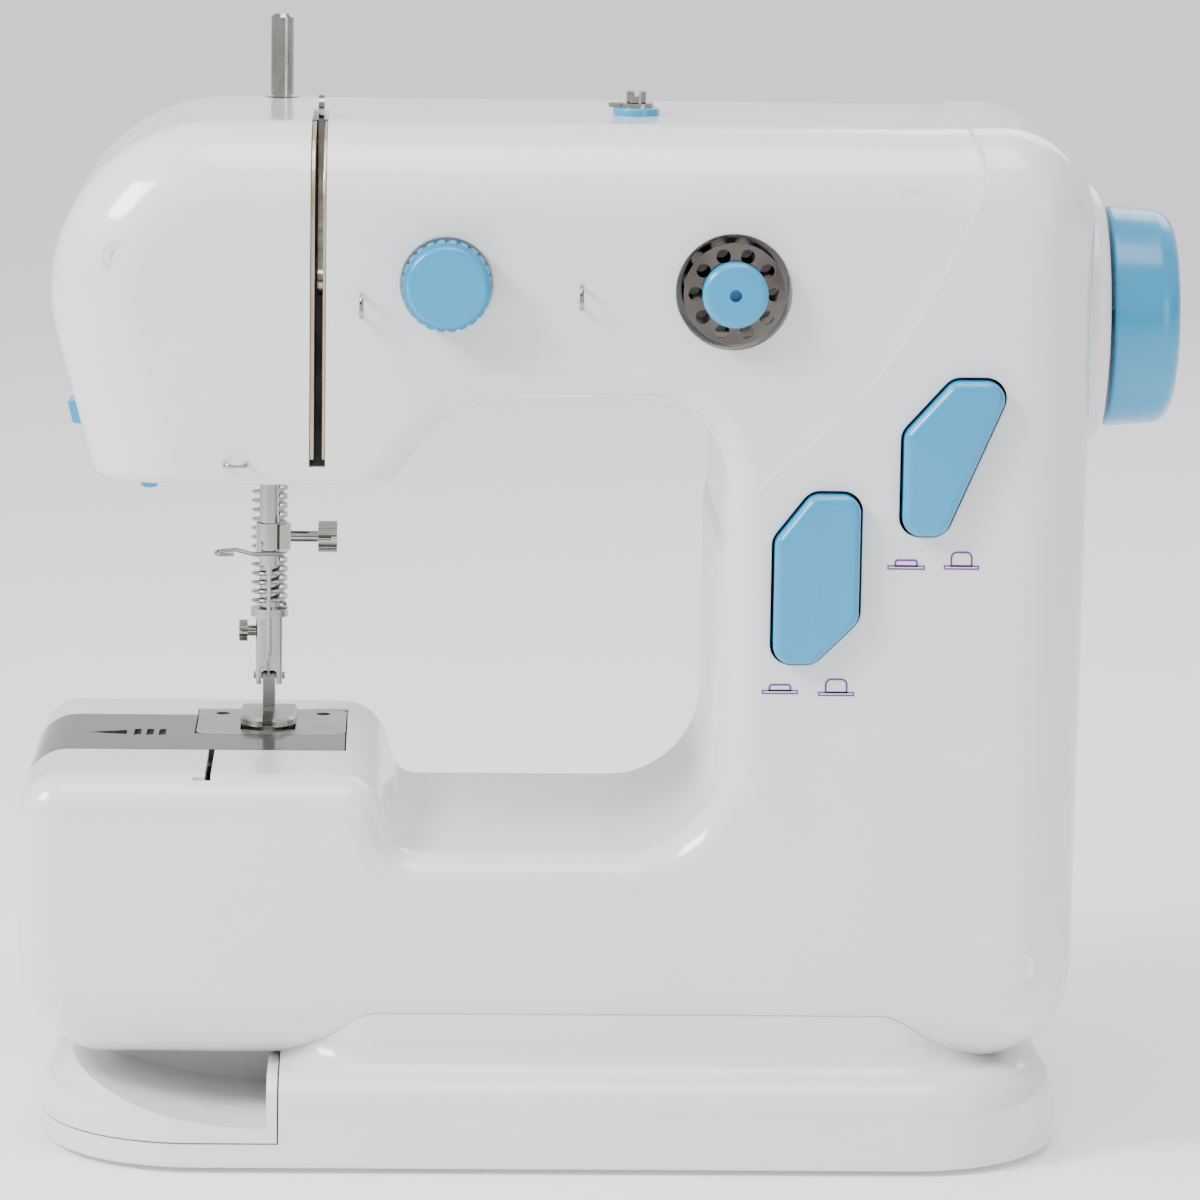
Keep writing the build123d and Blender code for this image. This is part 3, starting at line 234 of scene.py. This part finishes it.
# %% [markdown]
# ## Effects that several finishes share
# Moulded plastic has a faint orange-peel ripple and slow patches where hands have polished or
# dulled it. Machined metal has fine tool lines, and every worked edge gets a painted highlight.
# Each effect is a node group with its own inputs, so a finish only chooses its numbers.

# %% Node helpers


def new_group(name, inputs, outputs):
    """An empty shader group with value inputs {name: default} and value outputs [name]."""
    group = bpy.data.node_groups.new(name, "ShaderNodeTree")
    for label, default in inputs.items():
        socket = group.interface.new_socket(label, in_out="INPUT", socket_type="NodeSocketFloat")
        socket.default_value = default
    for label in outputs:
        group.interface.new_socket(label, in_out="OUTPUT", socket_type="NodeSocketFloat")
    return group, group.nodes.new("NodeGroupInput"), group.nodes.new("NodeGroupOutput")


def place(tree, kind, **settings):
    """Adds a node; a setting named after a property sets it, and in_Name sets that socket."""
    node = tree.nodes.new(kind)
    for label, value in settings.items():
        if label.startswith("in_"):
            node.inputs[label[3:].replace("_", " ")].default_value = value
        else:
            setattr(node, label, value)
    return node


def noise(tree, coords, scale, detail=3.0):
    """A noise texture on the given coordinates; scale may be a number or a group's socket."""
    texture = place(tree, "ShaderNodeTexNoise", in_Detail=detail)
    tree.links.new(coords, texture.inputs["Vector"])
    if isinstance(scale, (int, float)):
        texture.inputs["Scale"].default_value = scale
    else:
        tree.links.new(scale, texture.inputs["Scale"])
    return texture.outputs["Fac"]


def remap(tree, value, low, high, to_low, to_high):
    """Stretches low..high to to_low..to_high, held at both ends."""
    node = place(tree, "ShaderNodeMapRange", in_From_Min=low, in_From_Max=high,
                 in_To_Min=to_low, in_To_Max=to_high)
    tree.links.new(value, node.inputs["Value"])
    return node.outputs["Result"]


def object_coords(tree):
    """Positions in the piece's own space, which is the machine's space."""
    return tree.nodes.new("ShaderNodeTexCoord").outputs["Object"]


print("node helpers:", new_group.__name__, place.__name__, noise.__name__, remap.__name__)

# %% [markdown]
# The skin of moulded plastic gives three masks: a fine ripple as a height, broad patches that hands
# have dulled, and dust, which settles as specks on faces that look up.

# %% Group: the skin of moulded plastic
skin, skin_in, skin_out = new_group("moulded skin", {"Ripple": 900.0, "Patches": 28.0},
                                    ["Height", "Handled", "Dust"])
here = object_coords(skin)
skin.links.new(noise(skin, here, skin_in.outputs["Ripple"], 2.0), skin_out.inputs["Height"])
patches = noise(skin, here, skin_in.outputs["Patches"], 5.0)
skin.links.new(remap(skin, patches, 0.35, 0.68, 0.0, 1.0), skin_out.inputs["Handled"])
facing_up = place(skin, "ShaderNodeSeparateXYZ")
skin.links.new(skin.nodes.new("ShaderNodeNewGeometry").outputs["Normal"], facing_up.inputs[0])
level_mask = remap(skin, facing_up.outputs["Z"], 0.3, 1.0, 0.0, 1.0)
specks = remap(skin, noise(skin, here, 420.0, 6.0), 0.5, 0.7, 0.0, 1.0)
dust = place(skin, "ShaderNodeMath", operation="MULTIPLY")
skin.links.new(level_mask, dust.inputs[0])
skin.links.new(specks, dust.inputs[1])
skin.links.new(dust.outputs[0], skin_out.inputs["Dust"])
print("group:", skin.name)

# %% [markdown]
# A worked edge is found by comparing two normals, the rounded one of a Bevel node and the face's
# own. They agree on a flat face and part at an edge, so one minus their dot product marks the edge.

# %% Group: worked edges
edges, edges_in, edges_out = new_group("worked edges", {"Strength": 5.0}, ["Edge"])
rounded = place(edges, "ShaderNodeBevel", samples=4, in_Radius=0.5 * MM)
flat = edges.nodes.new("ShaderNodeNewGeometry")
match = place(edges, "ShaderNodeVectorMath", operation="DOT_PRODUCT")
edges.links.new(rounded.outputs["Normal"], match.inputs[0])
edges.links.new(flat.outputs["Normal"], match.inputs[1])
lack = place(edges, "ShaderNodeMath", operation="SUBTRACT")
lack.inputs[0].default_value = 1.0
edges.links.new(match.outputs["Value"], lack.inputs[1])
gain = place(edges, "ShaderNodeMath", operation="MULTIPLY", use_clamp=True)
edges.links.new(lack.outputs[0], gain.inputs[0])
edges.links.new(edges_in.outputs["Strength"], gain.inputs[1])
edges.links.new(gain.outputs[0], edges_out.inputs["Edge"])
print("group:", edges.name)

# %% [markdown]
# Tool lines are noise on coordinates that are scaled apart along the axes: the faster an axis
# changes, the finer the lines across it. A second, even noise is the smudge of fingers.

# %% Group: tool lines on metal
lines, lines_in, lines_out = new_group("tool lines", {"Along X": 40.0, "Along Y": 40.0, "Along Z": 40.0},
                                       ["Line", "Smudge"])
here = object_coords(lines)
spread = place(lines, "ShaderNodeCombineXYZ")
for axis in "XYZ":
    lines.links.new(lines_in.outputs["Along " + axis], spread.inputs[axis])
stretched = place(lines, "ShaderNodeVectorMath", operation="MULTIPLY")
lines.links.new(here, stretched.inputs[0])
lines.links.new(spread.outputs[0], stretched.inputs[1])
lines.links.new(noise(lines, stretched.outputs[0], 1.0, 6.0), lines_out.inputs["Line"])
smudge = remap(lines, noise(lines, here, 90.0, 4.0), 0.4, 0.7, 0.0, 1.0)
lines.links.new(smudge, lines_out.inputs["Smudge"])
print("group:", lines.name)

# %% [markdown]
# ## Finishes
# Every finish is built with three helpers: one places a shared group, one blends two colours by a
# mask, and one makes a material and puts its constants on the shader's own sockets.

# %% Material helpers
MIX_START, MIX_END, MIX_COLOUR = 6, 7, 2  # the colour sockets of a Mix node set to RGBA


def add_group(tree, group, **values):
    """Places a shared group in a material and sets its inputs."""
    node = place(tree, "ShaderNodeGroup", node_tree=group)
    for label, value in values.items():
        node.inputs[label.replace("_", " ")].default_value = value
    return node


def blend_colour(tree, mask, start, end):
    """start where the mask is 0, end where it is 1; start may be a socket."""
    mix = place(tree, "ShaderNodeMix", data_type="RGBA")
    tree.links.new(mask, mix.inputs["Factor"])
    if isinstance(start, tuple):
        mix.inputs[MIX_START].default_value = (*start, 1.0)
    else:
        tree.links.new(start, mix.inputs[MIX_START])
    mix.inputs[MIX_END].default_value = (*end, 1.0)
    return mix.outputs[MIX_COLOUR]


def new_material(name, **shader_values):
    """A material whose Principled shader takes the constants given here."""
    material = bpy.data.materials.new(name)
    material.use_nodes = True
    tree = material.node_tree
    shader = tree.nodes["Principled BSDF"]
    for label, value in shader_values.items():
        shader.inputs[label.replace("_", " ")].default_value = value
    return material, tree, shader


print("material helpers:", add_group.__name__, blend_colour.__name__, new_material.__name__)

# %% [markdown]
# Plastic is a clear-skinned dielectric: one colour, a low roughness that hands have varied, and on
# the glossy ones a thin coat. One function wires the shared skin into it, and each finish gives
# its own colours and numbers.

# %% Plastic
MOST_WORN = 0.6
DUST = (0.62, 0.6, 0.57)


def plastic(name, colour, worn, rough, relief, ripple=900.0, dusty=0.1, **shader_values):
    """Moulded plastic: colour, worn colour on handled patches, and roughness (low, high)."""
    material, tree, shader = new_material(name, **shader_values)
    surface = add_group(tree, skin, Ripple=ripple)
    handled = remap(tree, surface.outputs["Handled"], 0, 1, 0, MOST_WORN)
    body = blend_colour(tree, handled, colour, worn)
    settled = remap(tree, surface.outputs["Dust"], 0, 1, 0, dusty)
    dusted = blend_colour(tree, settled, body, DUST)
    tree.links.new(dusted, shader.inputs["Base Color"])
    tree.links.new(remap(tree, surface.outputs["Handled"], 0, 1, *rough), shader.inputs["Roughness"])
    bump = place(tree, "ShaderNodeBump", in_Strength=relief, in_Distance=0.1 * MM)
    tree.links.new(surface.outputs["Height"], bump.inputs["Height"])
    soft_edge = place(tree, "ShaderNodeBevel", samples=4, in_Radius=0.35 * MM)
    tree.links.new(soft_edge.outputs["Normal"], bump.inputs["Normal"])
    tree.links.new(bump.outputs["Normal"], shader.inputs["Normal"])
    return material


finishes = {
    "white_shell": plastic("glossy white", (0.83, 0.835, 0.85), (0.80, 0.80, 0.80), (0.14, 0.24),
                           ripple=260.0, relief=0.03, dusty=0.05, Coat_Weight=0.5, Coat_Roughness=0.05),
    "blue_plastic": plastic("sky blue", (0.018, 0.32, 0.60), (0.015, 0.28, 0.55), (0.2, 0.34),
                            ripple=600.0, relief=0.05, Coat_Weight=0.3, Coat_Roughness=0.08),
    "dark_plastic": plastic("dark plastic", (0.022, 0.021, 0.022), (0.035, 0.034, 0.034), (0.4, 0.6),
                            relief=0.25, dusty=0.2),
    "gear_plastic": plastic("acetal", (0.72, 0.70, 0.64), (0.66, 0.63, 0.56), (0.35, 0.5), relief=0.1),
    "rubber": plastic("foot rubber", (0.02, 0.02, 0.02), (0.045, 0.044, 0.042), (0.7, 0.9),
                      ripple=1500.0, relief=0.5, dusty=0.35),
    "belt_rubber": plastic("belt rubber", (0.015, 0.015, 0.016), (0.05, 0.05, 0.048), (0.55, 0.8),
                           ripple=1800.0, relief=0.5),
    "board": plastic("solder mask", (0.01, 0.10, 0.045), (0.015, 0.13, 0.06), (0.2, 0.4), relief=0.1),
}
print("plastics:", len(finishes))

# %% [markdown]
# The bobbin cover is tinted, see-through plastic, and the lamp's lens is nearly clear. Both let
# light through with a constant share of transmission, and their colour tints what passes.

# %% Tinted and clear plastic
finishes["smoke_plastic"] = plastic(
    "smoke tint", (0.13, 0.118, 0.115), (0.10, 0.09, 0.088), (0.06, 0.16), ripple=300.0, relief=0.04,
    dusty=0.12, Transmission_Weight=0.65, IOR=1.49)
finishes["lens"] = plastic(
    "lamp lens", (0.9, 0.93, 0.96), (0.85, 0.86, 0.85), (0.12, 0.3), relief=0.15,
    Transmission_Weight=0.6, IOR=1.45)
print("plastics with the clear ones:", len(finishes))

# %% [markdown]
# Metal is a mirror with lines in it. Plated parts have almost none, brushed ones many, and turned
# bars have rings across their length. The numbers say how fast the lines change along each axis.

# %% Metal
# How much lighter the painted edge highlight makes the metal's colour.
EDGE_HIGHLIGHT_GAIN = 1.15


def metal(name, colour, dull, rough, along, relief):
    """Worked metal: a bright colour, a duller one in smudges, a lighter colour painted on edges as a
    highlight, and lines along the given axes.
    """
    material, tree, shader = new_material(name, Metallic=1.0)
    surface = add_group(tree, lines, Along_X=along[0], Along_Y=along[1], Along_Z=along[2])
    rim = add_group(tree, edges)
    body = blend_colour(tree, surface.outputs["Smudge"], colour, dull)
    # Painted highlight: edges get a lighter base colour that stands in for light caught on them.
    edge_highlight_colour = tuple(min(1.0, channel * EDGE_HIGHLIGHT_GAIN) for channel in colour)
    highlighted = blend_colour(tree, rim.outputs["Edge"], body, edge_highlight_colour)
    tree.links.new(highlighted, shader.inputs["Base Color"])
    tree.links.new(remap(tree, surface.outputs["Line"], 0.3, 0.7, *rough), shader.inputs["Roughness"])
    bump = place(tree, "ShaderNodeBump", in_Strength=relief, in_Distance=0.05 * MM)
    tree.links.new(surface.outputs["Line"], bump.inputs["Height"])
    tree.links.new(bump.outputs["Normal"], shader.inputs["Normal"])
    return material


finishes["chrome"] = metal("nickel plate", (0.40, 0.385, 0.365), (0.30, 0.285, 0.265), (0.05, 0.16),
                           (300.0, 300.0, 900.0), 0.05)
finishes["dark_nickel"] = metal("dark nickel", (0.20, 0.18, 0.165), (0.12, 0.105, 0.095), (0.05, 0.18),
                                (300.0, 900.0, 300.0), 0.05)
finishes["bronze"] = metal("bronzed steel", (0.66, 0.52, 0.38), (0.52, 0.40, 0.28), (0.3, 0.5),
                           (900.0, 900.0, 90.0), 0.2)
finishes["satin_steel"] = metal("brushed steel", (0.46, 0.45, 0.43), (0.36, 0.35, 0.33), (0.22, 0.4),
                                (120.0, 4000.0, 4000.0), 0.25)
finishes["steel"] = metal("turned steel", (0.45, 0.44, 0.43), (0.34, 0.33, 0.31), (0.2, 0.42),
                          (5000.0, 60.0, 60.0), 0.3)
finishes["spring_steel"] = metal("spring wire", (0.5, 0.49, 0.47), (0.36, 0.34, 0.32), (0.15, 0.32),
                                 (900.0, 900.0, 900.0), 0.2)
finishes["brass"] = metal("turned brass", (0.66, 0.46, 0.19), (0.45, 0.30, 0.12), (0.2, 0.4),
                          (4000.0, 50.0, 50.0), 0.3)
finishes["cast_frame"] = metal("die casting", (0.42, 0.43, 0.44), (0.33, 0.33, 0.34), (0.45, 0.65),
                               (1500.0, 1500.0, 1500.0), 0.8)
print("finishes:", sorted(finishes))

# %% [markdown]
# Each node of the frame has a material slot named in its record, and the finish of that name goes
# on it. The bobbin on the winder is darker than its slot says. The meshes stay as they came.

# %% Dress the nodes
slot_of = {part["node"]: part["material_slot"] for part in frame["record"]["subparts"]}
slot_of["upper_bobbin"] = "dark_nickel"
for node_name, node_object in frame["nodes"].items():
    finish = finishes[slot_of[node_name]]
    node_object.data.materials.clear()
    node_object.data.materials.append(finish)
print("dressed:", len(slot_of))

# %% [markdown]
# The floor's finish is a matt paint with a slow, faint mottling, so its shadow stays soft.

# %% Floor finish
paint, tree, shader = new_material("floor paint", Roughness=0.75, Emission_Strength=0.2,
                                   Emission_Color=(1.0, 1.0, 1.0, 1.0))
mottle = remap(tree, noise(tree, object_coords(tree), 3.0), 0.3, 0.7, 0.0, 1.0)
tree.links.new(blend_colour(tree, mottle, (0.93, 0.93, 0.935), (0.91, 0.91, 0.915)),
               shader.inputs["Base Color"])
floor.data.materials.append(paint)

# %% [markdown]
# Beside each key two small purple pictures show the key in and out. Ink has almost no height, so
# each picture is two thin ribbons that stand a hair off the wall. A ribbon follows an outline and
# is worked out as arrays.

# %% Ribbon helper
WALL_FACE = -46.5
INK_OUT = 0.06
INK_IN = 0.04
ink, tree, shader = new_material("purple ink", Roughness=0.45)
wear = remap(tree, noise(tree, object_coords(tree), 2600.0, 4.0), 0.35, 0.65, 0.0, 1.0)
purple = blend_colour(tree, wear, (0.14, 0.022, 0.26), (0.17, 0.035, 0.30))
tree.links.new(purple, shader.inputs["Base Color"])


def ribbon(name, outline, width):
    """A closed box-shaped ribbon: each outline point (x, z) moves in and out along the average of
    its neighbours' normals by half the width, and has four corners, two on each side."""
    points = np.array(outline, float)
    ahead = np.roll(points, -1, 0) - points
    behind = points - np.roll(points, 1, 0)
    normals = []
    for side in (ahead, behind):
        length = np.linalg.norm(side, axis=1)[:, None]
        normals.append(np.column_stack([side[:, 1], -side[:, 0]]) / length)
    mitre = normals[0] + normals[1]
    mitre /= (1 + (normals[0] * normals[1]).sum(1))[:, None]
    rings = []
    for sign, depth in ((-1, -INK_OUT), (1, -INK_OUT), (1, INK_IN), (-1, INK_IN)):
        flat = points + sign * width / 2 * mitre
        wall = np.full(len(flat), WALL_FACE + depth)
        rings.append(np.column_stack([flat[:, 0], wall, flat[:, 1]]))
    piece = grid_mesh(name, np.stack(rings, 1) * MM, close_u=True, close_v=True)
    close_up(piece.data)
    piece.data.shade_flat()
    piece.data.materials.append(ink)
    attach(piece, "case")


print("ink stands off by", INK_OUT, "mm")

# %% [markdown]
# A picture is a key seen from the side, a domed cap on a flat brim. The right half of the cap is
# the left half mirrored. The low cap is the key pushed in, and the high one the key let out.

# %% Key pictures
BRIM = 0.62
BRIM_LINE = 0.3
CAP_LINE = 0.4
CAP_INSET = 0.2
CORNER = 1.1
CORNER_SHARE = 0.45


def key_picture(name, x0, x1, z0, height):
    """A key from x0 to x1 that stands on z0: a flat brim with a domed cap of the given height."""
    inset = (x1 - x0) * CAP_INSET
    foot = z0 + BRIM
    radius = min(CORNER, height * CORNER_SHARE)
    arc = np.linspace(0, math.pi / 2, 5)
    left_x = x0 + inset + radius - radius * np.cos(arc)
    left_z = foot + height - radius + radius * np.sin(arc)
    left = np.column_stack([left_x, left_z])
    right = np.column_stack([x0 + x1 - left_x[::-1], left_z[::-1]])
    cap = np.vstack([[[x0 + inset, foot]], left, right, [[x1 - inset, foot]]])
    ribbon(name + "_cap", cap, CAP_LINE)
    ribbon(name + "_brim", [(x0, z0), (x0, foot), (x1, foot), (x1, z0)], BRIM_LINE)


PICTURES = {
    "mark_on": (57.2, 64.5, 124.7, 1.2),
    "mark_off": (68.6, 75.5, 124.8, 2.8),
    "mark_low": (32.3, 39.4, 98.9, 1.2),
    "mark_high": (43.7, 50.8, 98.6, 2.7),
}
for name, values in PICTURES.items():
    key_picture(name, *values)
print("pictures:", len(PICTURES))

# %% [markdown]
# The slot in the head shows the bronzed cheek plates that guide the take-up lever. Each cheek is
# one flat outline in the YZ plane, given a thickness along X; the lever passes between the two.

# %% Slot cheeks
CHEEK_BACK = -21.5
CHEEK_LOW = 145.5
CHEEK_ROUND = 17.4
PLATE_EDGE = 0.1
ROUND_CENTRE = (-26.5, 194.2)
swing = np.linspace(math.pi, math.pi / 2, 12)
cheek_arc = np.array(ROUND_CENTRE) + CHEEK_ROUND * np.column_stack([np.cos(swing), np.sin(swing)])
CHEEK_OUTLINE = np.vstack([
    [(ROUND_CENTRE[0] - CHEEK_ROUND, CHEEK_LOW)],
    cheek_arc,
    [(CHEEK_BACK, ROUND_CENTRE[1] + CHEEK_ROUND), (CHEEK_BACK, CHEEK_LOW)],
])


def flat_plate(name, outline, x0, x1):
    """A plate: one face per side, each the outline (y, z) at its own x, joined by a band of quads."""
    flat = np.array(outline, float)
    count = len(flat)
    both = [np.column_stack([np.full(count, x), flat]) for x in (x0, x1)]
    first = np.arange(count)
    after = np.roll(first, -1)
    band = np.column_stack([first, after, after + count, first + count])
    faces = band.tolist() + [first[::-1].tolist(), (first + count).tolist()]
    mesh = bpy.data.meshes.new(name)
    mesh.from_pydata(np.vstack(both) * MM, [], faces)
    close_up(mesh)
    plate = bpy.data.objects.new(name, mesh)
    bpy.context.scene.collection.objects.link(plate)
    rounding = plate.modifiers.new("edge", "BEVEL")
    rounding.width = PLATE_EDGE * MM
    rounding.segments = 2
    return plate


CHEEKS = {"slot_cheek_right": (-57.15, -56.62), "slot_cheek_left": (-59.58, -58.85)}
for name, (x0, x1) in CHEEKS.items():
    cheek = flat_plate(name, CHEEK_OUTLINE, x0, x1)
    cheek.data.materials.append(finishes["bronze"])
    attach(cheek, "case")
print("cheeks:", len(CHEEKS))

# %% [markdown]
# The presser spring shortens when the bar is lifted, so it can't stay one rigid node. It is built
# again as a wire tube on a helix.

# %% Presser spring
spring_low, spring_high = (np.array(corner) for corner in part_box("presser_spring"))
WIRE = 0.42 * MM
TURNS = 20.9
STEPS_A_TURN = 30
ROUND_WIRE = 10
coil_radius = (spring_high[0] - spring_low[0]) / 2 - WIRE
coil_axis = (spring_low + spring_high) / 2
along = np.linspace(0, 1, int(TURNS * STEPS_A_TURN))
spin = 2 * math.pi * TURNS * along
outwards = np.column_stack([np.cos(spin), np.sin(spin), np.zeros_like(spin)])
middle = coil_axis * (1, 1, 0) + coil_radius * outwards
middle[:, 2] = spring_low[2] + WIRE + along * (spring_high[2] - spring_low[2] - 2 * WIRE)
forwards = np.gradient(middle, axis=0)
forwards /= np.linalg.norm(forwards, axis=1)[:, None]
sideways = np.cross(forwards, outwards)
lap = np.linspace(0, 2 * math.pi, ROUND_WIRE, endpoint=False)
thickness = np.full((len(along), 1, 1), WIRE)
thickness[[0, -1]] = 0.0  # each end closes to a point
ring = np.cos(lap)[None, :, None] * outwards[:, None] + np.sin(lap)[None, :, None] * sideways[:, None]
coil = grid_mesh("presser_coil", middle[:, None] + thickness * ring, close_v=True)
close_up(coil.data)
coil.data.materials.append(finishes["spring_steel"])
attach(coil, "case")
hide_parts("presser_spring")
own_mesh(coil)
